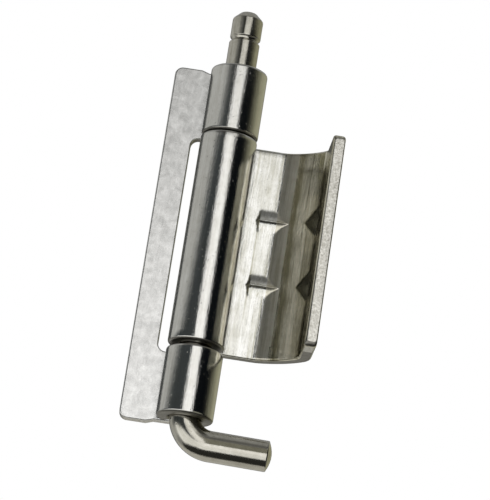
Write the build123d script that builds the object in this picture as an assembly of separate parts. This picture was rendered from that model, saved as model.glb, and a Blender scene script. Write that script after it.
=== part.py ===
from build123d import *
import os
from math import cos, degrees, radians, sin, tan

# Weld-on concealed hinge: a frame leaf and a door leaf, each folded and rolled from one sheet,
# turning on a bent pin that pulls out downwards.
# Frame: the origin is the centre of the frame leaf's back face, which is welded on. +Y points out of
# that face, +Z runs along the pin to its grooved tip, and +X points to the door leaf.
# Everything is first drawn about the pin's axis, and moved to the origin at the end.

# Driving dimensions, in millimetres and degrees
SHEET = 2.0  # thickness of both leaves
FRONT_ROUND = 0.5  # edges drawn round by the shears, on the front face, which is rolled inwards
BACK_CHAMFER = 0.35  # flatter edges, on the back face
PIN_DIAMETER = 5.0
PIN_CLEARANCE = 0.1  # between the pin and each rolled bore, on the radius
ROLL_ANGLE = 302.0  # how far a knuckle is rolled round the pin

FRAME_LEAF_LENGTH = 60.0
STRIP_WIDTH = 4.4  # flat strip beside the notch
STRIP_CORNER = 1.3
NOTCH_GAP = 1.5  # between the strip and the door leaf's barrel
NOTCH_CORNER = 1.3
KNUCKLE_LENGTH = 11.4
KNUCKLE_STEP = 0.4  # how far the knuckles end short of the strip's ends
KNUCKLE_STEP_RUN = 1.2  # width of the sloped step

TOP_GAP = 0.15  # between the door leaf's barrel and the upper knuckle
BOTTOM_GAP = 0.75  # between the barrel and the lower knuckle
FLAT_RUN = 8.9  # from the pin's axis to the first bend
FIRST_BEND_RADIUS = 4.0  # radii of the bends are those of the inner face
FIRST_BEND_ANGLE = 22.0
FLOOR_RADIUS = 14.0
FLOOR_ANGLE = 28.0
SECOND_BEND_RADIUS = 1.8
SECOND_BEND_ANGLE = 36.0
LIP_HEIGHT = 7.9
LIP_CORNER = 0.9

DART_SPACING = 11.0
DART_HEIGHT = 0.45  # of the first darts' ridge above the flat, where it starts
DART_SLOPE = 16.0  # of a dart's two flanks
DART_NOSE = 45.0  # slope of the end where a dart starts
DART_RIDGE = 0.8  # radius along the ridge
FIRST_DART_ON_FLAT = 2.3  # how far each dart reaches over the faces beside its bend
FIRST_DART_ON_FLOOR = 1.2
SECOND_DART_ON_FLOOR = 2.2
SECOND_DART_ON_LIP = 2.4

PIN_STANDOUT = 10.25  # of the tip above the upper knuckle
TIP_CHAMFER = 1.2
GROOVE_FROM_TIP = 4.4
GROOVE_WIDTH = 0.9
GROOVE_DEPTH = 0.45
PIN_BEND_RADIUS = 4.75  # of the pin's centre line
PIN_BEND_ANGLE = 89.0
PIN_BEND_INSIDE = 1.0  # how far inside the lower bore the bend starts
HANDLE_REACH = 14.7  # from the pin's axis
HANDLE_CHAMFER = 0.6

# Worked out from the driving dimensions
pin_radius = PIN_DIAMETER / 2
bore_radius = pin_radius + PIN_CLEARANCE
knuckle_radius = bore_radius + SHEET
notch_x = -(knuckle_radius + NOTCH_GAP)
strip_x = notch_x - STRIP_WIDTH
leaf_end = FRAME_LEAF_LENGTH / 2
knuckle_end = leaf_end - KNUCKLE_STEP
knuckle_start = knuckle_end - KNUCKLE_LENGTH
door_top = knuckle_start - TOP_GAP
door_bottom = BOTTOM_GAP - knuckle_start
door_length = door_top - door_bottom
door_middle = (door_top + door_bottom) / 2
tip_z = knuckle_end + PIN_STANDOUT
bend_z = PIN_BEND_INSIDE - knuckle_end

# Edges and corners nearer than this to a line lie on it
TOUCH = 0.001

# The weld face's centre is the origin
hinge_axis = Pos(STRIP_WIDTH / 2 - notch_x, -knuckle_radius, 0)


def sheet_section(length):
    """Cut through the sheet: X from its back to its front face, and its length along Y."""
    section = Rectangle(SHEET, length)
    section = fillet(section.vertices().group_by(Axis.X)[-1], FRONT_ROUND)
    return chamfer(section.vertices().group_by(Axis.X)[0], BACK_CHAMFER)


def finished_plate(outline):
    """Flat stretch with its back on the XY plane, its edges finished except at X = 0, where it runs on."""
    plate = extrude(outline, SHEET)
    rim = plate.faces().sort_by(Axis.Z)[-1].edges()
    plate = fillet(rim - rim.filter_by_position(Axis.X, -TOUCH, TOUCH), FRONT_ROUND)
    rim = plate.faces().sort_by(Axis.Z)[0].edges()
    return chamfer(rim - rim.filter_by_position(Axis.X, -TOUCH, TOUCH), BACK_CHAMFER)


def rolled_knuckle(length, middle_z, turn):
    """Sheet rolled round the pin, starting at the back; turn is 1 or -1, seen from above."""
    start = Plane((0, bore_radius + SHEET / 2, middle_z), x_dir=(0, -1, 0), z_dir=(-turn, 0, 0))
    return revolve(start * sheet_section(length), Axis((0, 0, 0), (0, 0, turn)), ROLL_ANGLE)


def frame_leaf_outline():
    """Front view of the flat strip and the two tabs that run on into the knuckles."""
    step_x = notch_x + KNUCKLE_STEP_RUN
    corners = Polyline(
        (0, knuckle_end),
        (step_x, knuckle_end),
        (notch_x, leaf_end),
        (strip_x, leaf_end),
        (strip_x, -leaf_end),
        (notch_x, -leaf_end),
        (step_x, -knuckle_end),
        (0, -knuckle_end),
        (0, -knuckle_start),
        (notch_x, -knuckle_start),
        (notch_x, knuckle_start),
        (0, knuckle_start),
        close=True,
    )
    outline = make_face(corners)
    outer = outline.vertices().filter_by_position(Axis.X, strip_x - TOUCH, strip_x + TOUCH)
    outline = fillet(outer, STRIP_CORNER)
    inner = outline.vertices().filter_by_position(Axis.X, notch_x - TOUCH, notch_x + TOUCH)
    inner = inner.filter_by_position(Axis.Y, -knuckle_start - TOUCH, knuckle_start + TOUCH)
    return fillet(inner, NOTCH_CORNER)


def frame_leaf():
    back = Plane((0, knuckle_radius, 0), x_dir=(1, 0, 0), z_dir=(0, -1, 0))
    leaf = back * finished_plate(frame_leaf_outline())
    middle = knuckle_start + KNUCKLE_LENGTH / 2
    for z in (-middle, middle):
        leaf += rolled_knuckle(KNUCKLE_LENGTH, z, -1)
    return leaf


class FoldedSheet:
    """A sheet followed from the pin's back outwards, seen from above, one stretch at a time."""

    def __init__(self, length, middle_z):
        self.section = sheet_section(length)
        self.point = Vector(0, bore_radius + SHEET / 2, middle_z)
        self.heading = 0.0
        self.solid = None

    def run(self):
        """Direction in which the sheet leaves the current cut."""
        return Vector(cos(radians(self.heading)), sin(radians(self.heading)), 0)

    def front(self):
        """Direction from the middle of the sheet to its front face."""
        return self.run().cross(Vector(0, 0, 1))

    def cut(self):
        """The section, placed square across the sheet at the current point."""
        return Plane(self.point, x_dir=self.front(), z_dir=self.run()) * self.section

    def front_point(self, along=0.0, above=0.0):
        """A point beside the current cut, measured along the sheet and up from its front face."""
        return self.point + self.run() * along + self.front() * (SHEET / 2 + above)

    def bent_point(self, inner_radius, angle):
        """The point of the front face that lies this angle back on the bend just made."""
        centre = self.front_point(above=inner_radius)
        return centre + (self.front_point() - centre).rotate(Axis.Z, angle)

    def add(self, stretch):
        self.solid = stretch if self.solid is None else self.solid + stretch

    def straight(self, length):
        self.add(extrude(self.cut(), length))
        self.point += self.run() * length

    def bend(self, inner_radius, angle):
        """Bends the sheet towards its front face."""
        centre = self.front_point(above=inner_radius)
        self.add(revolve(self.cut(), Axis(centre, (0, 0, -1)), angle))
        self.point = centre + (self.point - centre).rotate(Axis.Z, -angle)
        self.heading -= angle


def lip_plate(sheet):
    """The lip, flat, with rounded corners, standing on the sheet's current cut."""
    outline = Pos(LIP_HEIGHT / 2, 0) * Rectangle(LIP_HEIGHT, door_length)
    outline = fillet(outline.vertices().group_by(Axis.X)[-1], LIP_CORNER)
    root = Plane(sheet.front_point(above=-SHEET), x_dir=sheet.run(), z_dir=sheet.front())
    return root * finished_plate(outline)


def dart_bar(start, end):
    """Bar under a dart's ridge, which runs from start to end, with two flanks and a sloped nose."""
    run = (end - start).normalized()
    front = run.cross(Vector(0, 0, 1))
    depth = (SHEET + DART_HEIGHT) / 2
    half_width = depth / tan(radians(DART_SLOPE))
    section = make_face(Polyline((0, 0), (-depth, half_width), (-depth, -half_width), close=True))
    section = fillet(section.vertices().sort_by(Axis.X)[-1], DART_RIDGE)
    nose_run = depth / tan(radians(DART_NOSE))
    bar_start = Plane(start - run * nose_run, x_dir=front, z_dir=run)
    bar = extrude(bar_start * section, (end - start).length + nose_run)
    outwards = front * cos(radians(DART_NOSE)) - run * sin(radians(DART_NOSE))
    return split(bar, Plane(start, z_dir=outwards), keep=Keep.BOTTOM), front


def add_dart(leaf, start, end):
    """Presses a dart: a ridge on the inside of the bend, with its hollow on the outside."""
    ridge, front = dart_bar(start, end)
    hollow = Pos(*(front * -SHEET)) * ridge
    return leaf + ridge - hollow


def door_leaf():
    sheet = FoldedSheet(door_length, door_middle)
    sheet.add(rolled_knuckle(door_length, door_middle, 1))
    sheet.straight(FLAT_RUN)
    first_start = sheet.front_point(along=-FIRST_DART_ON_FLAT, above=DART_HEIGHT)
    sheet.bend(FIRST_BEND_RADIUS, FIRST_BEND_ANGLE)
    sheet.bend(FLOOR_RADIUS, FLOOR_ANGLE)
    first_end = sheet.bent_point(FLOOR_RADIUS, FLOOR_ANGLE - degrees(FIRST_DART_ON_FLOOR / FLOOR_RADIUS))
    second_start = sheet.bent_point(FLOOR_RADIUS, degrees(SECOND_DART_ON_FLOOR / FLOOR_RADIUS))
    sheet.bend(SECOND_BEND_RADIUS, SECOND_BEND_ANGLE)
    second_end = sheet.front_point(along=SECOND_DART_ON_LIP)
    sheet.add(lip_plate(sheet))
    leaf = sheet.solid
    for z in (-DART_SPACING / 2, DART_SPACING / 2):
        level = Vector(0, 0, z)
        leaf = add_dart(leaf, first_start + level, first_end + level)
        leaf = add_dart(leaf, second_start + level, second_end + level)
    return leaf


def pin_shaft():
    """Straight shaft with its chamfered tip and the groove for a clip."""
    groove_top = tip_z - GROOVE_FROM_TIP
    groove_low = groove_top - GROOVE_WIDTH
    neck = pin_radius - GROOVE_DEPTH
    half = Polyline(
        (0, bend_z),
        (pin_radius, bend_z),
        (pin_radius, groove_low),
        (neck, groove_top - GROOVE_WIDTH / 2),
        (pin_radius, groove_top),
        (pin_radius, tip_z - TIP_CHAMFER),
        (pin_radius - TIP_CHAMFER, tip_z),
        (0, tip_z),
        close=True,
    )
    return revolve(Plane.XZ * make_face(half), Axis.Z)


def pin_bend():
    """The bend, from the shaft's end to the handle's start."""
    section = Pos(0, 0, bend_z) * Circle(pin_radius)
    return revolve(section, Axis((PIN_BEND_RADIUS, 0, bend_z), (0, -1, 0)), PIN_BEND_ANGLE)


def pin_handle():
    """Short straight handle with a chamfered end."""
    turned = radians(PIN_BEND_ANGLE)
    start = Vector(PIN_BEND_RADIUS * (1 - cos(turned)), 0, bend_z - PIN_BEND_RADIUS * sin(turned))
    run = Vector(sin(turned), 0, -cos(turned))
    handle = extrude(Plane(start, z_dir=run) * Circle(pin_radius), (HANDLE_REACH - start.X) / run.X)
    return chamfer(handle.edges().filter_by(GeomType.CIRCLE).sort_by(Axis.X)[-1], HANDLE_CHAMFER)


def hinge_pin():
    return pin_shaft() + pin_bend() + pin_handle()


os.makedirs("parts", exist_ok=True)
export_step(hinge_axis * frame_leaf(), "parts/frame_leaf.step")
export_step(hinge_axis * door_leaf(), "parts/door_leaf.step")
export_step(hinge_axis * hinge_pin(), "parts/hinge_pin.step")
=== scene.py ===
import logging
import math
from dataclasses import dataclass, field
from enum import Enum
from functools import partial, reduce
from typing import Any, Callable

import bmesh
import bpy
from mathutils import Matrix, Quaternion, Vector

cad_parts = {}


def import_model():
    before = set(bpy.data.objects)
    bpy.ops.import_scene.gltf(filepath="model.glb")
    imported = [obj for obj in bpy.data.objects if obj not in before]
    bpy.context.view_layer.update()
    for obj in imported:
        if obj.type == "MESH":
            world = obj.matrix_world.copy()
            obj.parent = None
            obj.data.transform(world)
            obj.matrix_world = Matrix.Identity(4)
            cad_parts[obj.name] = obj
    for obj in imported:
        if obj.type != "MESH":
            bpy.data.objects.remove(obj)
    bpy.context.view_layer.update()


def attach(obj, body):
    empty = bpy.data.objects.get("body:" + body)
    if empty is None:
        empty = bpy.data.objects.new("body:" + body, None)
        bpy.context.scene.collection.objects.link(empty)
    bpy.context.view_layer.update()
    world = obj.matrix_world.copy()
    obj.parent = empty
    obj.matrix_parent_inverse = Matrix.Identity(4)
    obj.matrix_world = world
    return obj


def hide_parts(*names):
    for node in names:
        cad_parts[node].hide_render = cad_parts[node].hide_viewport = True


LOG = logging.getLogger("concealed_hinge")
MM = 0.001
TOUCH = 1e-4
UP = Vector((0, 0, 1))

# Roll faces that tilt down past DARK_BELOW, or up past DARK_ABOVE, get dark steel as painted shade.
DARK_BELOW = -0.42
DARK_ABOVE = 0.95

Form = bmesh.types.BMesh
Face = bmesh.types.BMFace
Faces = list[Face]
Piece = bpy.types.Object
Material = bpy.types.Material
Tree = bpy.types.NodeTree
Socket = bpy.types.NodeSocket
Colour = tuple[float, float, float]
Profile = tuple[tuple[float, float], ...]
Paint = dict["Finish", Material]


# Drawing forms

def corners_of(faces: Faces) -> list[bmesh.types.BMVert]:
    """The vertices of some faces, each once."""
    return list({vertex: None for face in faces for vertex in face.verts})


@dataclass
class Drawing:
    """A closed form in millimetres about the pin's axis, drawn out by moving one end of it."""

    mesh: Form
    end: Faces
    rooted: bool = False

    def _leave(self, old: Faces) -> None:
        """Takes away an old end that now has walls in front of it and behind it.

        Args:
            old: The faces of the old end.
        """
        if self.rooted:
            bmesh.ops.delete(self.mesh, geom=old, context="FACES")
        self.rooted = True

    def push(self, move: Vector, steps: int = 1) -> None:
        """Draws the end out in a straight line.

        Args:
            move: How far, and in which direction.
            steps: Number of rows of faces.
        """
        for _ in range(steps):
            old = self.end
            grown = bmesh.ops.extrude_face_region(self.mesh, geom=old)["geom"]
            self.end = [part for part in grown if isinstance(part, Face)]
            self._leave(old)
            bmesh.ops.translate(self.mesh, verts=corners_of(self.end), vec=move / steps)

    def turn(self, centre: Vector, axis: Vector, angle: float, steps: int) -> None:
        """Draws the end out round an axis.

        Args:
            centre: A point on the axis.
            axis: The axis's direction.
            angle: How far, in degrees.
            steps: Number of rows of faces.
        """
        old = self.end
        spun = bmesh.ops.spin(
            self.mesh, geom=old, cent=centre, axis=axis, dvec=(0, 0, 0), angle=math.radians(angle),
            steps=steps, use_merge=False, use_normal_flip=False, use_duplicate=False,
        )["geom_last"]
        self.end = [part for part in spun if isinstance(part, Face)]
        self._leave(old)

    def stretch(self, centre: Vector, factors: Vector, facing: Matrix | None = None) -> None:
        """Resizes the end about a centre.

        Args:
            centre: The point that stays.
            factors: Factors along the three directions of facing.
            facing: A turned frame for the factors, or none for the plain one.
        """
        space = (facing or Matrix.Identity(3)).to_4x4().inverted() @ Matrix.Translation(-centre)
        bmesh.ops.scale(self.mesh, vec=factors, space=space, verts=corners_of(self.end))


def linked(name: str, mesh: Form) -> Piece:
    """Puts a form in the scene.

    Args:
        name: The piece's name.
        mesh: Its form, which is used up.

    Returns:
        The new object.
    """
    data = bpy.data.meshes.new(name)
    mesh.to_mesh(data)
    mesh.free()
    piece = bpy.data.objects.new(name, data)
    bpy.context.scene.collection.objects.link(piece)
    return piece


def shown(name: str, mesh: Form, place: Vector, paint: Paint, pick: Callable[[Face], "Finish"]) -> Piece:
    """Makes a piece from a drawn form.

    Args:
        name: The piece's name.
        mesh: The form, in millimetres about the pin's axis.
        place: The pin's axis in the part's frame, in metres.
        paint: The materials, by finish.
        pick: Chooses a face's finish.

    Returns:
        The new object.
    """
    bmesh.ops.recalc_face_normals(mesh, faces=mesh.faces)
    used = []
    for face in mesh.faces:
        face.smooth = True
        finish = pick(face)
        if finish not in used:
            used.append(finish)
        face.material_index = used.index(finish)
    bmesh.ops.scale(mesh, vec=(MM, MM, MM), verts=mesh.verts)
    bmesh.ops.translate(mesh, vec=place, verts=mesh.verts)
    piece = linked(name, mesh)
    for finish in used:
        piece.data.materials.append(paint[finish])
    evened = piece.modifiers.new("even_shading", "WEIGHTED_NORMAL")
    evened.keep_sharp = True
    return piece


def gets_painted_shade(face: Face) -> bool:
    """Whether a face of a roll gets dark steel as painted shade: an end face that faces down, or almost
    straight up.
    """
    return face.normal.z < DARK_BELOW or face.normal.z > DARK_ABOVE


# Sheet metal

@dataclass(frozen=True)
class Stock:
    """The sheet and the rod that the pieces are made from, in millimetres."""

    sheet: float = 2.0
    bore: float = 2.6
    roll: float = 302.0
    roll_steps: int = 64
    shear_round: float = 0.47
    round_steps: int = 4

    @property
    def outside(self) -> float:
        """Radius of a rolled knuckle."""
        return self.bore + self.sheet


STOCK = Stock()
PIN_AXIS = Vector((8.3, -4.6, 0)) * MM


def rounded_off(radius: float, to_go: float) -> float:
    """How far a rounded edge has drawn in.

    Args:
        radius: Radius of the rounding.
        to_go: Distance still to go to the very edge.

    Returns:
        The distance by which the face has drawn in.
    """
    reach = max(radius - to_go, 0.0)
    return radius - math.sqrt(radius ** 2 - reach ** 2)


def eased(share: float) -> float:
    """A soft step from 0 to 1 as share goes from 0 to 1."""
    share = min(max(share, 0.0), 1.0)
    return share * share * (3 - 2 * share)


@dataclass
class FoldedSheet:
    """A sheet followed outwards from the back of the pin, seen from above."""

    low: float
    high: float
    rows: list[float]
    heading: float = 0.0
    point: Vector = field(default_factory=lambda: Vector((0, STOCK.bore, 0)))
    drawing: Drawing = field(init=False)

    def __post_init__(self) -> None:
        """Cuts the section and rolls it from its free end to the back of the pin."""
        mesh = bmesh.new()
        bmesh.ops.create_grid(mesh, x_segments=1, y_segments=1, size=0.5)
        length = self.high - self.low
        bmesh.ops.scale(mesh, vec=(STOCK.sheet, length, 1), verts=mesh.verts)
        bmesh.ops.bevel(
            mesh, geom=mesh.verts[:], affect="VERTICES", offset=STOCK.shear_round, offset_type="OFFSET",
            segments=STOCK.round_steps, profile=0.5, material=-1, clamp_overlap=True,
        )
        upright = Matrix(((0, 0, 1), (1, 0, 0), (0, 1, 0)))
        bmesh.ops.rotate(mesh, cent=(0, 0, 0), matrix=upright, verts=mesh.verts)
        middle = Vector((0, STOCK.bore + STOCK.sheet / 2, (self.low + self.high) / 2))
        bmesh.ops.translate(mesh, vec=middle, verts=mesh.verts)
        for level in self.rows:
            everything = [*mesh.verts, *mesh.edges, *mesh.faces]
            bmesh.ops.bisect_plane(mesh, geom=everything, plane_co=(0, 0, level), plane_no=UP)
        depth = mesh.verts.layers.float.new("depth")
        for vertex in mesh.verts:
            vertex[depth] = vertex.co.y - STOCK.bore
        free_end = Matrix.Rotation(math.radians(STOCK.roll), 3, "Z")
        bmesh.ops.rotate(mesh, cent=(0, 0, 0), matrix=free_end, verts=mesh.verts)
        self.drawing = Drawing(mesh, mesh.faces[:])
        self.drawing.turn(Vector(), UP, -STOCK.roll, STOCK.roll_steps)

    @property
    def run(self) -> Vector:
        """Direction in which the sheet goes on."""
        angle = math.radians(self.heading)
        return Vector((math.cos(angle), math.sin(angle), 0))

    @property
    def front(self) -> Vector:
        """Direction out of the sheet's front face."""
        return self.run.cross(UP)

    def front_point(self, along: float = 0.0, above: float = 0.0) -> Vector:
        """A point near the open end, measured along the sheet and up from its front face."""
        return self.point + self.run * along + self.front * above

    def bent_point(self, inner_radius: float, back: float) -> Vector:
        """A point on the front face of the bend just made, some millimetres back from its end."""
        centre = self.front_point(above=inner_radius)
        return centre + Matrix.Rotation(back / inner_radius, 3, "Z") @ (self.point - centre)

    def straight(self, length: float, steps: int) -> None:
        """Goes straight on for some millimetres."""
        self.drawing.push(self.run * length, steps)
        self.point = self.point + self.run * length

    def bend(self, inner_radius: float, angle: float, steps: int) -> None:
        """Bends towards the front face.

        Args:
            inner_radius: Radius of the front face, in millimetres.
            angle: How far, in degrees.
            steps: Number of rows of faces.
        """
        centre = self.front_point(above=inner_radius)
        self.drawing.turn(centre, UP, -angle, steps)
        self.point = centre + Matrix.Rotation(-math.radians(angle), 3, "Z") @ (self.point - centre)
        self.heading -= angle

    def rounded_tip(self, corner: float, front_round: float, back_round: float, steps: int = 12) -> None:
        """Ends the sheet in a sheared edge with rounded corners.

        Args:
            corner: Radius of the corners, in millimetres.
            front_round: Rounding of the edge on the front face.
            back_round: Rounding of the edge on the back face.
            steps: Number of rows of faces.
        """
        half = (self.high - self.low) / 2
        middle_z = (self.high + self.low) / 2
        gone = 0.0
        before = (0.0, 0.0, 0.0)
        for step in range(1, steps + 1):
            reach = corner * math.sin(math.radians(90 * step / steps))
            to_go = corner - reach
            now = tuple(rounded_off(radius, to_go) for radius in (corner, front_round, back_round))
            self.drawing.push(self.run * (reach - gone))
            gone = reach
            width_before = STOCK.sheet - before[1] - before[2]
            width = STOCK.sheet - now[1] - now[2]
            centre = self.point + self.run * reach - self.front * (before[1] + width_before / 2)
            centre.z = middle_z
            facing = Matrix((self.run, self.front, UP)).transposed()
            factors = Vector((1, width / width_before, (half - now[0]) / (half - before[0])))
            self.drawing.stretch(centre, factors, facing)
            shift = self.front * ((now[2] - now[1]) - (before[2] - before[1])) / 2
            bmesh.ops.translate(self.drawing.mesh, vec=shift, verts=corners_of(self.drawing.end))
            before = now
        self.point = self.point + self.run * corner


@dataclass(frozen=True)
class Dart:
    """A stiffening ridge pressed across a bend, given by its two ends on the front face."""

    start: Vector
    finish: Vector
    slope: float = 12.0
    nose: float = 62.0
    ridge: float = 0.02
    crease: float = 0.48
    crease_width: float = 0.48
    blend: float = 0.08

    def rise(self, point: Vector, depth: float, level: float) -> Vector:
        """How far the press moves a point of the sheet.

        Args:
            point: The point.
            depth: Its depth under the front face.
            level: Height of the dart along the pin.

        Returns:
            The move.
        """
        run = (self.finish - self.start).normalized()
        front = run.cross(UP)
        flat = Vector((point.x, point.y, 0)) - self.start
        beside = math.hypot(point.z - level, self.ridge) - self.ridge
        wanted = -beside * math.tan(math.radians(self.slope))
        wanted -= self.crease * (1 - math.exp(-beside / self.crease_width))
        wanted += min(flat.dot(run), 0.0) * math.tan(math.radians(self.nose))
        short = wanted - flat.dot(front) - depth
        if short <= -self.blend:
            return Vector()
        if short < self.blend:
            short = (short + self.blend) ** 2 / (4 * self.blend)
        return front * short


@dataclass(frozen=True)
class DoorLeaf:
    """The door leaf: a long barrel, a flat, a curved floor and a lip, with four pressed darts."""

    low: float = -17.45
    high: float = 18.05
    plain_run: float = 5.4
    plain_steps: int = 6
    flat_run: float = 8.9
    flat_steps: int = 22
    first_radius: float = 4.0
    first_angle: float = 22.0
    first_steps: int = 8
    floor_radius: float = 14.0
    floor_angle: float = 28.0
    floor_steps: int = 27
    second_radius: float = 1.8
    second_angle: float = 36.0
    second_steps: int = 12
    lip_height: float = 7.9
    lip_foot: float = 3.2
    lip_foot_steps: int = 13
    lip_steps: int = 4
    lip_corner: float = 0.9
    lip_back_round: float = 0.22
    dart_levels: tuple[float, float] = (-5.2, 5.8)
    first_dart_height: float = 0.88
    first_dart_on_flat: float = 2.05
    second_dart_on_floor: float = 2.2
    second_dart_on_lip: float = 2.4
    second_dart_slope: float = 19.0
    second_dart_crease: float = 0.05
    second_dart_blend: float = 0.12
    second_dart_least: float = 0.03
    dart_zone: float = 10.6
    fine_row: float = 0.15
    ridge_row: float = 0.035
    coarse_row: float = 0.9
    lean: float = 0.0095
    lean_start: float = 9.0
    lean_full: float = 17.0
    worn_bend: tuple[float, float] = (9.75, 11.7)
    floor_front: float = -7.0
    lip_edge: float = -9.7
    lip_front: float = -10.0
    cut_tilt: float = 0.9
    sheared_tilt: float = 0.97
    corner_tilts: tuple[float, float] = (-0.93, -0.1)

    def rows(self) -> list[float]:
        """Sets out the rows of points along the pin, close together where the darts are.

        Returns:
            The rows' heights, in millimetres.
        """
        fine = round(self.dart_zone / self.fine_row)
        levels = [step * self.fine_row for step in range(-fine, fine + 1)]
        for level in self.dart_levels:
            levels += [level - self.ridge_row, level, level + self.ridge_row]
        for limit, way in ((self.high, 1), (self.low, -1)):
            level = way * (self.dart_zone + self.coarse_row)
            while abs(limit - level) > self.coarse_row:
                levels.append(level)
                level += way * self.coarse_row
        return levels

    def form(self) -> Form:
        """Draws the leaf and presses its darts.

        Returns:
            The leaf's form.
        """
        sheet = FoldedSheet(self.low, self.high, self.rows())
        sheet.straight(self.plain_run, self.plain_steps)
        sheet.straight(self.flat_run - self.plain_run, self.flat_steps)
        first_start = sheet.front_point(along=-self.first_dart_on_flat, above=self.first_dart_height)
        first_finish = sheet.front_point(above=self.first_dart_height)
        sheet.bend(self.first_radius, self.first_angle, self.first_steps)
        sheet.bend(self.floor_radius, self.floor_angle, self.floor_steps)
        second_start = sheet.bent_point(self.floor_radius, self.second_dart_on_floor)
        sheet.bend(self.second_radius, self.second_angle, self.second_steps)
        second_finish = sheet.front_point(along=self.second_dart_on_lip)
        sheet.straight(self.lip_foot, self.lip_foot_steps)
        sheet.straight(self.lip_height - self.lip_foot - self.lip_corner, self.lip_steps)
        sheet.rounded_tip(self.lip_corner, STOCK.shear_round, self.lip_back_round)
        first_dart = Dart(first_start, first_finish)
        second_dart = Dart(
            second_start, second_finish, slope=self.second_dart_slope, crease=self.second_dart_crease,
            blend=self.second_dart_blend,
        )
        self.press(sheet.drawing.mesh, [first_dart, second_dart])
        return sheet.drawing.mesh

    def press(self, mesh: Form, darts: list[Dart]) -> None:
        """Presses the darts, and lets the lip lean a little, as on the real leaf.

        Args:
            mesh: The leaf's form.
            darts: The darts, each pressed at both levels; the last one lies on the lip.
        """
        depth = mesh.verts.layers.float["depth"]
        pressed = mesh.verts.layers.float.new("pressed")
        for vertex in mesh.verts:
            if vertex.co.x > STOCK.outside:
                for dart in darts:
                    moves = (dart.rise(vertex.co, vertex[depth], level) for level in self.dart_levels)
                    move = sum(moves, Vector())
                    # The lip darts' moves are kept, to mark where painted shade goes.
                    vertex[pressed] = move.length if dart is darts[-1] else 0.0
                    vertex.co += move
            share = (vertex.co.x - self.lean_start) / (self.lean_full - self.lean_start)
            vertex.co.x -= self.lean * vertex.co.z * eased(share)

    def pick(self, face: Face, pressed: bmesh.types.BMLayerItem) -> "Finish":
        """Chooses a face's finish, with dark steel as painted shade on the roll's ends, the undersides, the
        lip tip's corners and the lip's darts.

        Args:
            face: The face.
            pressed: How far each point was pressed for the lip's darts.

        Returns:
            The finish.
        """
        middle, facing = face.calc_center_median(), face.normal
        on_flat = middle.x > 0 and middle.y > STOCK.bore
        # The roll's end faces get dark steel as painted shade.
        if math.hypot(middle.x, middle.y) < STOCK.outside + TOUCH and not on_flat:
            return Finish.END_PAINTED_SHADE if gets_painted_shade(face) else Finish.ROLLED
        # Painted shade: faces that face down get dark steel.
        if facing.z < -self.cut_tilt and middle.y > self.floor_front:
            return Finish.END_PAINTED_SHADE
        # Painted shade: the lip tip's down-facing corners get dark steel.
        if middle.y < self.lip_front and self.corner_tilts[0] < facing.z < self.corner_tilts[1]:
            return Finish.END_PAINTED_SHADE
        # Painted shade: the faces of the lip's pressed darts get near-black steel.
        moved = sum(vertex[pressed] for vertex in face.verts) / len(face.verts)
        if facing.x < 0 and moved > self.second_dart_least:
            return Finish.LIP_DART_PAINTED_SHADE
        if abs(facing.z) > self.sheared_tilt or (middle.y < self.lip_edge and facing.y < -self.sheared_tilt):
            return Finish.SHEARED
        if facing.y > 0 or middle.x < self.worn_bend[0]:
            return Finish.CHANNEL
        return Finish.WORN_BEND if middle.x < self.worn_bend[1] else Finish.FLOOR

    def build(self, place: Vector, paint: Paint) -> Piece:
        """Makes the leaf, riding on the door's body.

        Args:
            place: The pin's axis in the part's frame, in metres.
            paint: The materials, by finish.

        Returns:
            The new object.
        """
        mesh = self.form()
        pressed = mesh.verts.layers.float["pressed"]
        leaf = shown("door_leaf_sheet", mesh, place, paint, lambda face: self.pick(face, pressed))
        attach(leaf, "door")
        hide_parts("door_leaf")
        return leaf


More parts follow.
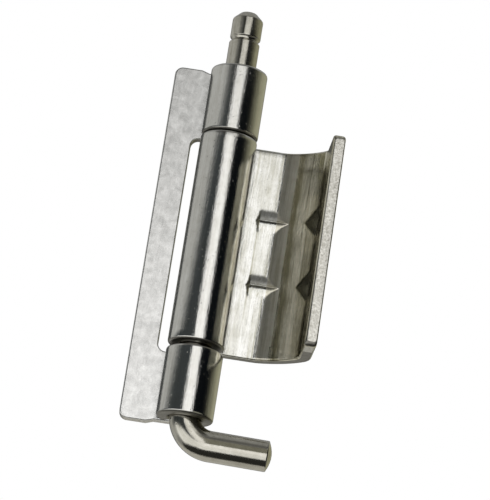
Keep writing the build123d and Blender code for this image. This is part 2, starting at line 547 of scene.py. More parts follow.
@dataclass(frozen=True)
class FrameLeaf:
    """The frame leaf: a flat strip with two tabs that roll round the pin."""

    half_length: float = 30.0
    knuckle_end: float = 29.6
    knuckle_start: float = 18.2
    notch: float = -6.1
    strip: float = -10.5
    step_run: float = 1.2
    corner: float = 1.3
    corner_steps: int = 6
    edge_round: float = 0.25
    edge_tilt: float = 0.03
    notch_margin: float = 1.0

    def outline(self) -> list[tuple[float, float]]:
        """Sets out the front view of the flat part.

        Returns:
            Its corners in order, as X and Z.
        """
        upper = [
            (0, self.knuckle_start), (0, self.knuckle_end), (self.notch + self.step_run, self.knuckle_end),
            (self.notch, self.half_length), (self.strip, self.half_length),
        ]
        lower = [(x, -z) for x, z in reversed(upper)]
        return [*upper, *lower, (self.notch, -self.knuckle_start), (self.notch, self.knuckle_start)]

    def form(self) -> Form:
        """Cuts the flat part, rounds its rims and rolls its tabs.

        Returns:
            The leaf's form.
        """
        mesh = bmesh.new()
        points = [mesh.verts.new((x, STOCK.outside, z)) for x, z in self.outline()]
        mesh.faces.new(points)
        turned = [p for p in points if p.co.x < self.strip + TOUCH]
        turned += [p for p in points if abs(p.co.x - self.notch) < TOUCH
                   and abs(p.co.z) < self.knuckle_start + TOUCH]
        bmesh.ops.bevel(
            mesh, geom=turned, affect="VERTICES", offset=self.corner, offset_type="OFFSET",
            segments=self.corner_steps, profile=0.5, material=-1, clamp_overlap=True,
        )
        grown = bmesh.ops.extrude_face_region(mesh, geom=mesh.faces[:])["geom"]
        front = [part for part in grown if isinstance(part, bmesh.types.BMVert)]
        bmesh.ops.translate(mesh, vec=(0, -STOCK.sheet, 0), verts=front)
        for level in (STOCK.bore, STOCK.outside):
            rim = [
                edge for edge in mesh.edges
                if all(abs(v.co.y - level) < TOUCH for v in edge.verts)
                and not all(abs(v.co.x) < TOUCH for v in edge.verts)
            ]
            bmesh.ops.bevel(
                mesh, geom=rim, affect="EDGES", offset=self.edge_round, offset_type="OFFSET",
                segments=STOCK.round_steps, profile=0.5, material=-1, clamp_overlap=True,
            )
        for side in (-1, 1):
            tab = [
                face for face in mesh.faces
                if all(abs(v.co.x) < TOUCH and v.co.z * side > 0 for v in face.verts)
            ]
            self.soften(mesh, corners_of(tab), side)
            drawing = Drawing(mesh, tab, rooted=True)
            drawing.turn(Vector(), UP, -STOCK.roll, STOCK.roll_steps)
        return mesh

    def soften(self, mesh: Form, section: list[bmesh.types.BMVert], side: int) -> None:
        """Rounds a tab's section more where the rolling starts.

        Args:
            mesh: The leaf's form.
            section: The points of the tab's end.
            side: 1 for the upper tab, -1 for the lower one.
        """
        for level in (STOCK.bore, STOCK.outside):
            for height in (self.knuckle_start * side, self.knuckle_end * side):
                sharp = Vector((0, level, height))
                near = [v for v in section if (v.co - sharp).length < self.edge_round + TOUCH]
                bmesh.ops.scale(
                    mesh, vec=Vector((1, 1, 1)) * (STOCK.shear_round / self.edge_round),
                    space=Matrix.Translation(-sharp), verts=near,
                )

    def pick(self, face: Face) -> "Finish":
        """Chooses a face's finish: the rolled knuckles, the strip, its sheared edges, or dark steel as
        painted shade on the roll ends and beside the notch.

        Args:
            face: The face.

        Returns:
            The finish.
        """
        middle = face.calc_center_median()
        if middle.x > -TOUCH or middle.y < STOCK.bore - TOUCH:
            return Finish.END_PAINTED_SHADE if gets_painted_shade(face) else Finish.ROLLED
        if abs(face.normal.y) > self.edge_tilt:
            return Finish.STRIP
        # Painted shade: the sheared edges beside the notch, which face the door leaf's barrel, get dark
        # steel.
        shade_beside_notch = middle.x > self.strip + self.notch_margin
        shade_beside_notch = shade_beside_notch and abs(middle.z) < self.knuckle_start + self.notch_margin
        return Finish.END_PAINTED_SHADE if shade_beside_notch else Finish.SHEARED

    def build(self, place: Vector, paint: Paint) -> Piece:
        """Makes the leaf, riding on the frame's body.

        Args:
            place: The pin's axis in the part's frame, in metres.
            paint: The materials, by finish.

        Returns:
            The new object.
        """
        leaf = shown("frame_leaf_sheet", self.form(), place, paint, self.pick)
        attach(leaf, "frame")
        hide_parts("frame_leaf")
        return leaf


@dataclass(frozen=True)
class HingePin:
    """The pin: one rod with a grooved tip, a bend and a short handle.

    A profile's pairs are distances along the rod and what they add to its radius.
    """

    radius: float = 2.5
    tip: float = 39.85
    tip_chamfer: float = 1.2
    groove_from_tip: float = 4.4
    groove_width: float = 0.9
    groove_depth: float = 0.45
    bend_radius: float = 4.75
    bend_start: float = -28.6
    bend_angle: float = 89.0
    bend_steps: int = 30
    reach: float = 14.7
    crown: float = 0.55
    edge_round: float = 0.3
    segments: int = 72
    shaft_steps: int = 12
    edge_steps: int = 3
    tip_inset: float = 0.25
    tip_edge: Profile = ((0.02, -0.1), (0.06, 0.0), (0.14, 0.11))
    chamfer_edge: Profile = ((-0.16, -0.18), (0.0, -0.05), (0.16, 0.0))
    groove_rim: Profile = ((-0.08, 0.0), (0.0, -0.03), (0.05, -0.09))
    groove_bed: Profile = ((-0.04, 0.02), (0.04, 0.02))
    crown_shares: tuple[float, ...] = (0.85, 0.65, 0.4, 0.15)

    def tip_rings(self) -> list[tuple[float, float]]:
        """Sets out the rings that shape the tip and its groove.

        Returns:
            Distance from the tip and radius of each ring, down to the shaft.
        """
        flat, neck = self.radius - self.tip_chamfer, self.radius - self.groove_depth
        top, low = self.groove_from_tip, self.groove_from_tip + self.groove_width
        rings = [(along, flat + out) for along, out in self.tip_edge]
        rings += [(self.tip_chamfer + along, self.radius + out) for along, out in self.chamfer_edge]
        rings += [(top + along, self.radius + out) for along, out in self.groove_rim]
        rings += [((top + low) / 2 + along, neck + out) for along, out in self.groove_bed]
        rings += [(low - along, self.radius + out) for along, out in reversed(self.groove_rim)]
        return rings

    def end_rings(self) -> list[tuple[float, float]]:
        """Sets out the rings that shape the handle's crowned end.

        Returns:
            Distance from the handle's start and radius of each ring.
        """
        length = (self.reach - self.bend_radius) / math.sin(math.radians(self.bend_angle))
        shoulder = length - self.crown
        rings = [(shoulder - self.edge_round, self.radius)]
        for step in range(1, self.edge_steps + 1):
            angle = math.radians(90 * step / self.edge_steps)
            inset = self.edge_round * (1 - math.cos(angle))
            rings.append((shoulder - self.edge_round * (1 - math.sin(angle)), self.radius - inset))
        face = self.radius - self.edge_round
        rings += [(shoulder + self.crown * (1 - share * share), face * share) for share in self.crown_shares]
        return rings

    def form(self) -> Form:
        """Draws the rod from its tip to the end of its handle.

        Returns:
            The pin's form.
        """
        mesh = bmesh.new()
        start = self.radius - self.tip_chamfer - self.tip_inset
        bmesh.ops.create_circle(mesh, cap_ends=True, segments=self.segments, radius=start)
        bmesh.ops.translate(mesh, vec=(0, 0, self.tip), verts=mesh.verts)
        rod = Drawing(mesh, mesh.faces[:])
        place = self.rings(rod, Vector((0, 0, self.tip)), -UP, start, self.tip_rings())
        rod.push(Vector((0, 0, self.bend_start - place.z)), self.shaft_steps)
        centre = Vector((self.bend_radius, 0, self.bend_start))
        rod.turn(centre, Vector((0, -1, 0)), self.bend_angle, self.bend_steps)
        angle = math.radians(self.bend_angle)
        run = Vector((math.sin(angle), 0, -math.cos(angle)))
        place = centre - Vector((math.cos(angle), 0, math.sin(angle))) * self.bend_radius
        self.rings(rod, place, run, self.radius, self.end_rings())
        self.unroll(mesh)
        return mesh

    @staticmethod
    def rings(rod: Drawing, start: Vector, run: Vector, size: float,
              rings: list[tuple[float, float]]) -> Vector:
        """Draws the rod on through a list of rings.

        Args:
            rod: The rod so far.
            start: Centre of its open end.
            run: Direction in which it goes on.
            size: Radius of the open end.
            rings: Distance from the start and radius of each ring.

        Returns:
            The centre of the last ring.
        """
        done = 0.0
        for distance, radius in rings:
            rod.push(run * (distance - done))
            rod.stretch(start + run * distance, Vector((1, 1, 1)) * (radius / size))
            done, size = distance, radius
        return start + run * done

    def unroll(self, mesh: Form) -> None:
        """Stores each point's place on the rod as it was before it was bent, for the drawn lines.

        Args:
            mesh: The pin's form.
        """
        drawn = mesh.verts.layers.float_vector.new("drawn")
        full = math.radians(self.bend_angle)
        for vertex in mesh.verts:
            spot = vertex.co.copy()
            if spot.z < self.bend_start:
                from_centre = spot - Vector((self.bend_radius, 0, self.bend_start))
                angle = min(math.atan2(-from_centre.z, -from_centre.x), full)
                turned = Matrix.Rotation(angle, 3, "Y") @ from_centre
                spot = turned + Vector((self.bend_radius, 0, self.bend_start - angle * self.bend_radius))
            vertex[drawn] = spot * MM

    def build(self, place: Vector, paint: Paint) -> Piece:
        """Makes the pin, riding on its own body.

        Args:
            place: The pin's axis in the part's frame, in metres.
            paint: The materials, by finish.

        Returns:
            The new object.
        """
        pin = shown("hinge_pin_rod", self.form(), place, paint, lambda face: Finish.DRAWN)
        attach(pin, "pin")
        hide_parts("hinge_pin")
        return pin


# Finishes

class Desk:
    """Adds nodes to one node tree and wires them up."""

    def __init__(self, tree: Tree) -> None:
        """Keeps the tree."""
        self.tree = tree

    def add(self, kind: str, inputs: dict[str | int, Any] | None = None, **settings: Any) -> bpy.types.Node:
        """Adds a node.

        Args:
            kind: The node's type name.
            inputs: Values or sockets for its inputs, by name or number.
            settings: Its other settings.

        Returns:
            The new node.
        """
        node = self.tree.nodes.new(kind)
        for name, value in settings.items():
            setattr(node, name, value)
        for name, value in (inputs or {}).items():
            if isinstance(value, Socket):
                self.tree.links.new(value, node.inputs[name])
            else:
                node.inputs[name].default_value = value
        return node

    def maths(self, operation: str, first: Any, second: Any) -> Socket:
        """Adds a Math node and gives its output."""
        return self.add("ShaderNodeMath", {0: first, 1: second}, operation=operation).outputs[0]

    def total(self, values: list[Socket]) -> Socket:
        """Adds values up."""
        return reduce(partial(self.maths, "ADD"), values)


class Effect(Enum):
    """Effects that more than one finish uses, each one a node group."""

    LINES = "drawn_lines"
    SCRATCHES = "scratches"
    MOTTLE = "mottle"
    PITS = "pits"


@dataclass(frozen=True)
class EffectKit:
    """Makes the shared node groups."""

    scratch_stretch: float = 45.0
    scratch_contrast: float = 18.0
    pit_rim: tuple[float, float] = (0.15, 0.35)

    def start(self, effect: Effect, inputs: dict[str, float]) -> tuple[Tree, Desk, Any, Any]:
        """Starts a group with a Vector input, some plain inputs and a Value output.

        Args:
            effect: The effect, which names the group.
            inputs: The plain inputs with their defaults.

        Returns:
            The group, its desk, its input node and its output node.
        """
        group = bpy.data.node_groups.new(effect.value, "ShaderNodeTree")
        group.interface.new_socket("Vector", in_out="INPUT", socket_type="NodeSocketVector")
        for name, value in inputs.items():
            socket = group.interface.new_socket(name, in_out="INPUT", socket_type="NodeSocketFloat")
            socket.default_value = value
        group.interface.new_socket("Value", in_out="OUTPUT", socket_type="NodeSocketFloat")
        desk = Desk(group)
        return group, desk, desk.add("NodeGroupInput"), desk.add("NodeGroupOutput")

    @staticmethod
    def stretched(desk: Desk, vector: Socket, length: Any) -> Socket:
        """Slows a vector's Z down, so that a noise read with it becomes long streaks.

        Args:
            desk: The group's desk.
            vector: The vector.
            length: How many times slower Z runs.

        Returns:
            The new vector.
        """
        apart = desk.add("ShaderNodeSeparateXYZ", {0: vector})
        short = desk.maths("DIVIDE", apart.outputs["Z"], length)
        joined = {0: apart.outputs["X"], 1: apart.outputs["Y"], 2: short}
        return desk.add("ShaderNodeCombineXYZ", joined).outputs[0]

    def lines(self) -> Tree:
        """Fine lines that run along Z.

        Returns:
            The node group.
        """
        group, desk, given, out = self.start(Effect.LINES, {"Scale": 2000.0, "Length": 40.0})
        noise = desk.add("ShaderNodeTexNoise", {
            "Vector": self.stretched(desk, given.outputs["Vector"], given.outputs["Length"]),
            "Scale": given.outputs["Scale"], "Detail": 6.0, "Roughness": 0.75,
        })
        desk.tree.links.new(noise.outputs["Fac"], out.inputs["Value"])
        return group

    def scratches(self) -> Tree:
        """A few thin long scratches along Z.

        Returns:
            The node group.
        """
        group, desk, given, out = self.start(Effect.SCRATCHES, {"Scale": 1500.0, "Share": 0.3})
        noise = desk.add("ShaderNodeTexNoise", {
            "Vector": self.stretched(desk, given.outputs["Vector"], self.scratch_stretch),
            "Scale": given.outputs["Scale"], "Detail": 1.0, "Distortion": 0.3,
        })
        start = desk.maths("SUBTRACT", 1.0, given.outputs["Share"])
        over = desk.maths("SUBTRACT", noise.outputs["Fac"], start)
        mask = desk.add("ShaderNodeClamp", {"Value": desk.maths("MULTIPLY", over, self.scratch_contrast)})
        desk.tree.links.new(mask.outputs[0], out.inputs["Value"])
        return group

    def mottle(self) -> Tree:
        """Cloudy patches with finer ones inside.

        Returns:
            The node group.
        """
        group, desk, given, out = self.start(Effect.MOTTLE, {"Scale": 300.0})
        noise = desk.add("ShaderNodeTexNoise", {
            "Vector": given.outputs["Vector"], "Scale": given.outputs["Scale"], "Detail": 8.0,
            "Roughness": 0.68, "Distortion": 0.4,
        })
        desk.tree.links.new(noise.outputs["Fac"], out.inputs["Value"])
        return group

    def pits(self) -> Tree:
        """Small round pits, strewn thinly.

        Returns:
            The node group.
        """
        group, desk, given, out = self.start(Effect.PITS, {"Scale": 2600.0, "Share": 0.05})
        cells = desk.add("ShaderNodeTexVoronoi", {
            "Vector": given.outputs["Vector"], "Scale": given.outputs["Scale"],
        })
        chance = desk.add("ShaderNodeSeparateColor", {0: cells.outputs["Color"]})
        kept = desk.maths("LESS_THAN", chance.outputs[0], given.outputs["Share"])
        size = desk.add("ShaderNodeMapRange", {
            "Value": cells.outputs["Distance"], "From Min": self.pit_rim[0], "From Max": self.pit_rim[1],
            "To Min": 1.0, "To Max": 0.0,
        })
        desk.tree.links.new(desk.maths("MULTIPLY", kept, size.outputs[0]), out.inputs["Value"])
        return group

    def build(self) -> dict[Effect, Tree]:
        """Makes all the groups."""
        return {
            Effect.LINES: self.lines(), Effect.SCRATCHES: self.scratches(), Effect.MOTTLE: self.mottle(),
            Effect.PITS: self.pits(),
        }


WAVE_SCALE = 420.0
WAVE_LENGTH = 7.0
ROUGHNESS_LIMITS = (0.05, 0.9)


@dataclass(frozen=True)
class Steel:
    """One finish of bare stainless steel: its colours and gloss, what the tools left on it, and on some
    finishes painted shade and painted reflection.
    """

    name: str
    colour: Colour
    stain: Colour
    roughness: float
    roughness_swing: float
    line_scale: float = 1300
    line_length: float = 20
    line_depth: float = 0.016
    line_stain: float = 1.0
    mottle_scale: float = 320
    mottle_depth: float = 0.016
    mottle_stain: float = 1.0
    wave_depth: float = 0.0
    scratch_scale: float = 1500.0
    scratch_share: float = 0.36
    scratch_stain: float = 0.0
    pit_scale: float = 2600.0
    pit_share: float = 0.05
    pit_depth: float = 0.0
    age: float = 0.5
    # Painted shade: the stain share rises by this much per metre up Z, so the colour darkens towards the
    # top.
    fade: float = 0.0
    # Painted reflection: stain shares by the distance along X, painted as dark and light bands.
    painted_bands: Profile = ()
    along_rod: bool = False

    def build(self, effects: dict[Effect, Tree]) -> Material:
        """Makes the material.

        Args:
            effects: The shared node groups.

        Returns:
            The material.
        """
        material = bpy.data.materials.new(self.name)
        material.use_nodes = True
        desk = Desk(material.node_tree)
        shader = material.node_tree.nodes["Principled BSDF"]
        shader.inputs["Metallic"].default_value = 1.0
        if self.along_rod:
            vector = desk.add("ShaderNodeAttribute", attribute_name="drawn").outputs["Vector"]
        else:
            vector = desk.add("ShaderNodeTexCoord").outputs["Object"]

        def effect(kind: Effect, **inputs: float) -> Socket:
            """Adds one shared effect to the material and gives its value."""
            node = desk.add("ShaderNodeGroup", {"Vector": vector, **inputs}, node_tree=effects[kind])
            return node.outputs["Value"]

        line = effect(Effect.LINES, Scale=self.line_scale, Length=self.line_length)
        patch = effect(Effect.MOTTLE, Scale=self.mottle_scale)
        stain_and_light_shares = [self.spread(desk, line, self.line_stain), self.spread(desk, patch, self.mottle_stain)]
        heights = [desk.maths("MULTIPLY", line, self.line_depth)]
        heights.append(desk.maths("MULTIPLY", patch, self.mottle_depth))
        if self.scratch_stain:
            scratch = effect(Effect.SCRATCHES, Scale=self.scratch_scale, Share=self.scratch_share)
            stain_and_light_shares.append(desk.maths("MULTIPLY", scratch, self.scratch_stain))
        if self.wave_depth:
            wave = effect(Effect.LINES, Scale=WAVE_SCALE, Length=WAVE_LENGTH)
            heights.append(desk.maths("MULTIPLY", wave, self.wave_depth))
        if self.pit_depth:
            pit = effect(Effect.PITS, Scale=self.pit_scale, Share=self.pit_share)
            heights.append(desk.maths("MULTIPLY", pit, -self.pit_depth))
        # Painted shade and painted reflection join the stain shares here, on the finishes that have them.
        stain_and_light_shares.append(self.age_and_painted_light(desk, vector))
        desk.tree.links.new(self.tint(desk, stain_and_light_shares), shader.inputs["Base Color"])
        rough = desk.maths("ADD", self.spread(desk, patch, self.roughness_swing), self.roughness)
        low, high = ROUGHNESS_LIMITS
        rough = desk.add("ShaderNodeClamp", {"Value": rough, "Min": low, "Max": high}).outputs[0]
        desk.tree.links.new(rough, shader.inputs["Roughness"])
        relief = {"Height": desk.total(heights), "Strength": 1.0, "Distance": MM}
        desk.tree.links.new(desk.add("ShaderNodeBump", relief).outputs[0], shader.inputs["Normal"])
        return material

    def tint(self, desk: Desk, stain_and_light_shares: list[Socket]) -> Socket:
        """Mixes the clean colour with the stain colour, by shares that also hold painted shade and painted
        reflection.

        Args:
            desk: The material's desk.
            stain_and_light_shares: The shares of stain, painted shade and painted reflection to add up.

        Returns:
            The mixed colour.
        """
        share = desk.add("ShaderNodeClamp", {"Value": desk.total(stain_and_light_shares)}).outputs[0]
        colours = {0: share, 6: (*self.colour, 1), 7: (*self.stain, 1)}
        return desk.add("ShaderNodeMix", colours, data_type="RGBA").outputs[2]

    def age_and_painted_light(self, desk: Desk, vector: Socket) -> Socket:
        """The share of stain colour at one place: painted reflection bands along X where they are given,
        else an even share from age with painted shade along Z.

        Args:
            desk: The material's desk.
            vector: The place.

        Returns:
            The share of stain colour, with its painted shade and reflection.
        """
        apart = desk.add("ShaderNodeSeparateXYZ", {0: vector})
        if self.painted_bands:
            return self.painted_reflection(desk, apart)
        # Painted shade: the share of stain rises along Z by fade, on top of the even share from age.
        return desk.maths("ADD", desk.maths("MULTIPLY", apart.outputs["Z"], self.fade), self.age)

    def painted_reflection(self, desk: Desk, apart: bpy.types.Node) -> Socket:
        """Painted reflection: how much stain colour to paint across the sheet by the distance along X, in
        dark and light bands for the dark and bright parts of the studio that the curved floor mirrors.

        Args:
            desk: The material's desk.
            apart: The node that gives X.

        Returns:
            The share of stain colour, painted as reflection.
        """
        first, last = self.painted_bands[0][0], self.painted_bands[-1][0]
        place = desk.add("ShaderNodeMapRange", {
            "Value": apart.outputs["X"], "From Min": first * MM, "From Max": last * MM,
        })
        ramp_node = desk.add("ShaderNodeValToRGB", {"Fac": place.outputs[0]})
        stops = ramp_node.color_ramp.elements
        for number, (distance, amount) in enumerate(self.painted_bands):
            position = (distance - first) / (last - first)
            if number in (0, len(self.painted_bands) - 1):
                stop = stops[0 if number == 0 else -1]
            else:
                stop = stops.new(position)
            stop.color = (amount, amount, amount, 1)
        return ramp_node.outputs["Color"]

    @staticmethod
    def spread(desk: Desk, value: Socket, amount: float) -> Socket:
        """Centres a noise on zero and multiplies it."""
        return desk.maths("MULTIPLY", desk.maths("SUBTRACT", value, 0.5), amount)


class Finish(Enum):
    """The finishes that the hinge's surfaces have, with painted shade and painted reflection in some of
    their colours.
    """

    ROLLED = Steel(
        "polished_roll", (0.78, 0.78, 0.76), (0.60, 0.59, 0.55), 0.10, 0.12,
        line_scale=1500, line_length=24, line_depth=0.010, line_stain=1.8,
        mottle_scale=500, mottle_depth=0.014, mottle_stain=1.2, wave_depth=0.05,
        pit_share=0.07, pit_depth=0.014,
    )
    CHANNEL = Steel(
        "folded_channel", (0.84, 0.84, 0.815), (0.33, 0.315, 0.215), 0.13, 0.14,
        line_stain=1.7, wave_depth=0.09, scratch_stain=0.35, pit_depth=0.008, age=0.27,
    )
    # Painted reflection: stain bands along X darken the floor near its start and at the bend into the lip,
    # with a lighter band between, for the parts of the studio that the curved floor mirrors.
    FLOOR = Steel(
        "floor_painted_reflection", (0.92, 0.89, 0.76), (0.26, 0.24, 0.155), 0.14, 0.14,
        line_stain=1.7, mottle_stain=1.2, wave_depth=0.09, scratch_stain=0.35, pit_depth=0.008,
        painted_bands=(
            (19.9, 0.66), (20.6, 1.00), (21.3, 0.70), (22.6, 0.10), (24.0, 0.22), (24.6, 0.60), (25.3, 0.40),
        ),
    )
    # Painted shade: fade darkens the strip towards its top, standing in for the front light falling off
    # there.
    STRIP = Steel(
        "satin_strip", (0.84, 0.84, 0.83), (0.52, 0.52, 0.51), 0.26, 0.20,
        line_scale=1800, line_length=4, line_depth=0.006, line_stain=0.8,
        mottle_scale=600, mottle_depth=0.014, mottle_stain=1.6, wave_depth=0.02,
        pit_share=0.04, pit_depth=0.003, age=0.55, fade=11.0,
    )
    SHEARED = Steel(
        "sheared_edge", (0.76, 0.75, 0.70), (0.34, 0.325, 0.28), 0.30, 0.30,
        line_scale=2800, line_length=1.0, line_depth=0.012, line_stain=2.6,
        mottle_scale=3200, mottle_depth=0.014, mottle_stain=2.0, age=0.34,
    )
    # Painted shade: dark steel on the roll ends, the undersides, the lip tip's corners and the edges beside
    # the notch, standing in for the shade in the gaps and under down-facing faces.
    END_PAINTED_SHADE = Steel(
        "knuckle_end", (0.30, 0.29, 0.26), (0.14, 0.135, 0.12), 0.36, 0.2,
        line_scale=1800, line_length=1.0, line_depth=0.020,
        mottle_scale=1300, mottle_depth=0.030, mottle_stain=1.2,
    )
    WORN_BEND = Steel(
        "worn_bend", (0.80, 0.77, 0.67), (0.38, 0.355, 0.25), 0.31, 0.20,
        line_stain=2.6, pit_depth=0.008, age=0.30,
    )
    # Painted shade: near-black steel on the lip's pressed darts, standing in for the shade in their crease.
    LIP_DART_PAINTED_SHADE = Steel(
        "lip_dart_painted_shade", (0.22, 0.22, 0.19), (0.10, 0.10, 0.08), 0.22, 0.1,
        mottle_scale=600, mottle_depth=0.02,
    )
    DRAWN = Steel(
        "drawn_rod", (0.66, 0.645, 0.585), (0.42, 0.40, 0.34), 0.12, 0.12,
        line_scale=2200, line_depth=0.010, line_stain=1.8,
        mottle_scale=800, mottle_depth=0.012, mottle_stain=1.4, wave_depth=0.03,
        pit_share=0.06, pit_depth=0.010, age=0.45, along_rod=True,
    )


# Studio

@dataclass(frozen=True)
class Viewpoint:
    """The camera: where it looks, from which direction and how far."""

    azimuth: float = 0.8
    elevation: float = -17.3
    roll: float = 9.0
    distance: float = 650 * MM
    pixels_per_mm: float = 6.22
    frame_height: int = 500
    sensor: float = 36.0
    clip: tuple[float, float] = (0.01, 20.0)
    beside_pin: float = 5.35 * MM
    below_middle: float = 0.21 * MM

    def place(self, pin_axis: Vector) -> None:
        """Creates the scene's camera.

        Args:
            pin_axis: A point on the pin's axis at the leaves' mid-height.
        """
        azimuth, elevation = math.radians(self.azimuth), math.radians(self.elevation)
        level = Vector((math.sin(azimuth), -math.cos(azimuth), 0)) * math.cos(elevation)
        back = level + Vector((0, 0, math.sin(elevation)))
        data = bpy.data.cameras.new("camera")
        data.sensor_width = self.sensor
        data.lens = self.sensor * self.pixels_per_mm * self.distance / MM / self.frame_height
        data.clip_start, data.clip_end = self.clip
        camera = bpy.data.objects.new("camera", data)
        bpy.context.scene.collection.objects.link(camera)
        target = pin_axis + Vector((self.beside_pin, 0, -self.below_middle))
        camera.location = target + back * self.distance
        camera.rotation_mode = "QUATERNION"
        turn = Quaternion((0, 0, 1), math.radians(self.roll))
        camera.rotation_quaternion = (-back).to_track_quat("-Z", "Y") @ turn
        bpy.context.scene.camera = camera


def ramp(value: float, edge: float, blur: float) -> float:
    """A soft step from 0 to 1.

    Args:
        value: Where it is read.
        edge: Middle of the step.
        blur: Width of the step.

    Returns:
        The step's height there.
    """
    return eased((value - edge) / blur + 0.5)


MIRRORED_RISE = 17.0
LEAN_REACH = 12.0


@dataclass(frozen=True)
class Panel:
    """One soft-edged light or cloth of the studio, in degrees as seen from the object.

    Its sides lean about the height that the hinge's upright faces mirror.
    """

    azimuths: tuple[float, float]
    elevations: tuple[float, float]
    colour: Colour
    blur: tuple[float, float] = (10.0, 10.0)
    fade: tuple[float, float] = (8.0, 8.0)
    lean: tuple[float, float] = (-0.16, -0.16)

    def share(self, azimuth: float, elevation: float) -> float:
        """How much of the panel is seen in one direction.

        Args:
            azimuth: The direction round the object.
            elevation: The direction's height.

        Returns:
            The share, from 0 to 1.
        """
        rise = min(max(elevation - MIRRORED_RISE, -LEAN_REACH), LEAN_REACH)
        start, end = (edge + lean * rise for edge, lean in zip(self.azimuths, self.lean))
        middle = (start + end) / 2
        azimuth = (azimuth - middle + 180) % 360 - 180 + middle
        low, high = self.elevations
        across = ramp(azimuth, start, self.blur[0]) * ramp(-azimuth, -end, self.blur[1])
        return across * ramp(elevation, low, self.fade[0]) * ramp(-elevation, -high, self.fade[1])


class SoftBox(Enum):
    """The studio's lights and cloths, each laid over those before it."""

    CEILING = Panel((-200, 200), (34, 100), (0.33, 0.33, 0.32), fade=(12, 8))
    CEILING_FRONT = Panel((-20, 20), (30, 62), (0.16, 0.16, 0.155), fade=(8, 16))
    CEILING_LEFT = Panel((-62, -18), (26, 70), (0.10, 0.10, 0.10))
    CEILING_RIGHT = Panel((22, 78), (26, 70), (0.06, 0.06, 0.055))
    UNDER = Panel((-200, 200), (-100, -44), (0.03, 0.03, 0.027))
    BACK_CLOTH = Panel((160, 208), (-30, 34), (0.10, 0.10, 0.09), blur=(16, 16))
    UNDER_BACK = Panel((125, 235), (-82, -14), (0.55, 0.54, 0.50), fade=(10, 6))
    LEFT_WALL = Panel((-146, -50), (-30, 30), (0.50, 0.50, 0.48), blur=(18, 20))
    LEFT_CLOTH = Panel((-60, 0), (-14, 30), (0.05, 0.056, 0.058), blur=(40, 4), lean=(3.2, 0.0))
    RIGHT_WALL = Panel((60, 162), (-30, 30), (0.38, 0.37, 0.26), blur=(30, 12))
    RIGHT_CLOTH = Panel((20, 99), (-40, 28), (0.004, 0.005, 0.006), blur=(4, 66), lean=(0.0, -0.9))
    LOW_LIGHT = Panel((-84, 20), (-48, -12), (1.1, 1.1, 1.08), blur=(16, 6))
    FRONT_LIGHT = Panel((-12, 25), (-24, 29), (1.24, 1.23, 1.21), blur=(7, 6), fade=(8, 24))
    HIGH_LIGHT = Panel((20, 34), (25.5, 40), (0.86, 0.85, 0.82), blur=(4, 6), fade=(2, 16))
    HIGH_CLOTH = Panel((-28, -11), (25.5, 40), (0.04, 0.04, 0.035), blur=(6, 5), fade=(2, 16))


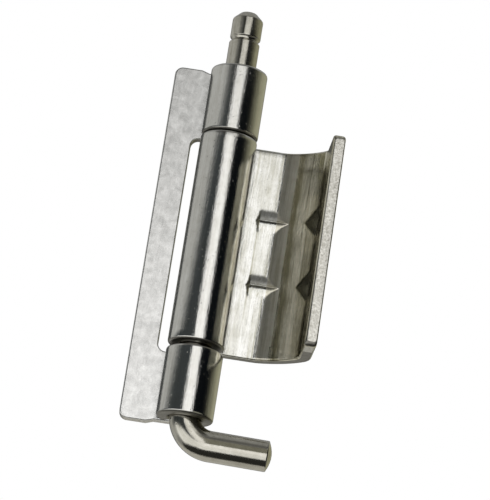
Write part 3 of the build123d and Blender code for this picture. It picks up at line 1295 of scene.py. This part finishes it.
@dataclass(frozen=True)
class Studio:
    """Pale floor, white surround, and a shell of lights and cloths that only mirrored rays see."""

    wall: Colour = (0.30, 0.30, 0.29)
    shell_radius: float = 0.34
    shell_segments: tuple[int, int] = (240, 120)
    flag_size: tuple[float, float] = (13.0, 5.2)
    flag_place: tuple[float, float, float] = (10.2, -8.0, -30.7)
    flag_colour: Colour = (0.24, 0.235, 0.19)
    floor_drop: float = 1.2
    floor_size: float = 6.0
    floor_colour: Colour = (0.9, 0.9, 0.9)
    floor_roughness: float = 0.9

    def level(self, azimuth: float, elevation: float) -> Colour:
        """Mixes the colour of the shell in one direction.

        Args:
            azimuth: The direction round the object, in degrees.
            elevation: The direction's height, in degrees.

        Returns:
            The colour.
        """
        colour = Vector(self.wall)
        for box in SoftBox:
            colour = colour.lerp(Vector(box.value.colour), box.value.share(azimuth, elevation))
        return tuple(colour)

    @staticmethod
    def mirrored(piece: Piece, name: str, colour: Colour | None = None) -> None:
        """Makes a piece glow, and hides it from all but mirrored rays.

        Args:
            piece: The piece.
            name: Name of the new material.
            colour: Its colour, or none for the colours that its points hold.
        """
        material = bpy.data.materials.new(name)
        material.use_nodes = True
        material.node_tree.nodes.clear()
        desk = Desk(material.node_tree)
        if colour:
            glow = (*colour, 1)
        else:
            glow = desk.add("ShaderNodeAttribute", attribute_name="glow").outputs["Color"]
        light = desk.add("ShaderNodeEmission", {"Color": glow})
        desk.add("ShaderNodeOutputMaterial", {"Surface": light.outputs[0]})
        piece.data.materials.append(material)
        piece.visible_camera = False
        piece.visible_diffuse = False
        piece.visible_shadow = False

    def shell(self, centre: Vector) -> None:
        """Makes the shell round the object, coloured by the lights and cloths.

        Args:
            centre: The middle of the studio.
        """
        mesh = bmesh.new()
        columns, rows = self.shell_segments
        bmesh.ops.create_uvsphere(mesh, u_segments=columns, v_segments=rows, radius=self.shell_radius)
        glow = mesh.verts.layers.float_color.new("glow")
        for vertex in mesh.verts:
            azimuth = math.degrees(math.atan2(vertex.co.x, -vertex.co.y))
            elevation = math.degrees(math.asin(max(-1.0, min(1.0, vertex.co.z / self.shell_radius))))
            vertex[glow] = (*self.level(azimuth, elevation), 1)
        bmesh.ops.translate(mesh, vec=centre, verts=mesh.verts)
        shell = linked("studio_shell", mesh)
        self.mirrored(shell, "soft_boxes")

    def flag(self, centre: Vector) -> None:
        """Makes a small grey flag in front of the pin's handle.

        Args:
            centre: The middle of the studio.
        """
        mesh = bmesh.new()
        bmesh.ops.create_grid(mesh, x_segments=1, y_segments=1, size=0.5)
        bmesh.ops.scale(mesh, vec=(*self.flag_size, 1), verts=mesh.verts)
        bmesh.ops.rotate(mesh, cent=(0, 0, 0), matrix=Matrix.Rotation(math.pi / 2, 3, "X"), verts=mesh.verts)
        bmesh.ops.translate(mesh, vec=self.flag_place, verts=mesh.verts)
        bmesh.ops.scale(mesh, vec=(MM, MM, MM), verts=mesh.verts)
        bmesh.ops.translate(mesh, vec=centre, verts=mesh.verts)
        flag = linked("handle_flag", mesh)
        self.mirrored(flag, "flag_cloth", self.flag_colour)

    def floor(self) -> None:
        """The pale floor, well below the object."""
        mesh = bmesh.new()
        bmesh.ops.create_grid(mesh, x_segments=1, y_segments=1, size=self.floor_size / 2)
        bmesh.ops.translate(mesh, verts=mesh.verts, vec=(0, 0, -self.floor_drop))
        floor = linked("studio_floor", mesh)
        material = bpy.data.materials.new("floor_paint")
        material.use_nodes = True
        shader = material.node_tree.nodes["Principled BSDF"]
        shader.inputs["Base Color"].default_value = (*self.floor_colour, 1)
        shader.inputs["Roughness"].default_value = self.floor_roughness
        floor.data.materials.append(material)

    @staticmethod
    def world() -> None:
        """A plain white surround."""
        world = bpy.data.worlds.new("studio_world")
        world.use_nodes = True
        bpy.context.scene.world = world
        background = world.node_tree.nodes["Background"]
        background.inputs["Color"].default_value = (1, 1, 1, 1)
        background.inputs["Strength"].default_value = 1.0

    def build(self, centre: Vector) -> None:
        """Sets up the whole studio.

        Args:
            centre: The middle of the studio.
        """
        bpy.context.scene.view_settings.view_transform = "Standard"
        self.world()
        self.floor()
        self.shell(centre)
        self.flag(centre)


def main() -> None:
    """Builds the hinge and its studio."""
    logging.basicConfig(level=logging.INFO, format="%(name)s: %(message)s")
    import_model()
    effects = EffectKit().build()
    paint = {finish: finish.value.build(effects) for finish in Finish}
    for part in (FrameLeaf(), DoorLeaf(), HingePin()):
        piece = part.build(PIN_AXIS, paint)
        LOG.info("%s: %d faces", piece.name, len(piece.data.polygons))
    Studio().build(PIN_AXIS)
    Viewpoint().place(PIN_AXIS)


if __name__ == "__main__":
    main()
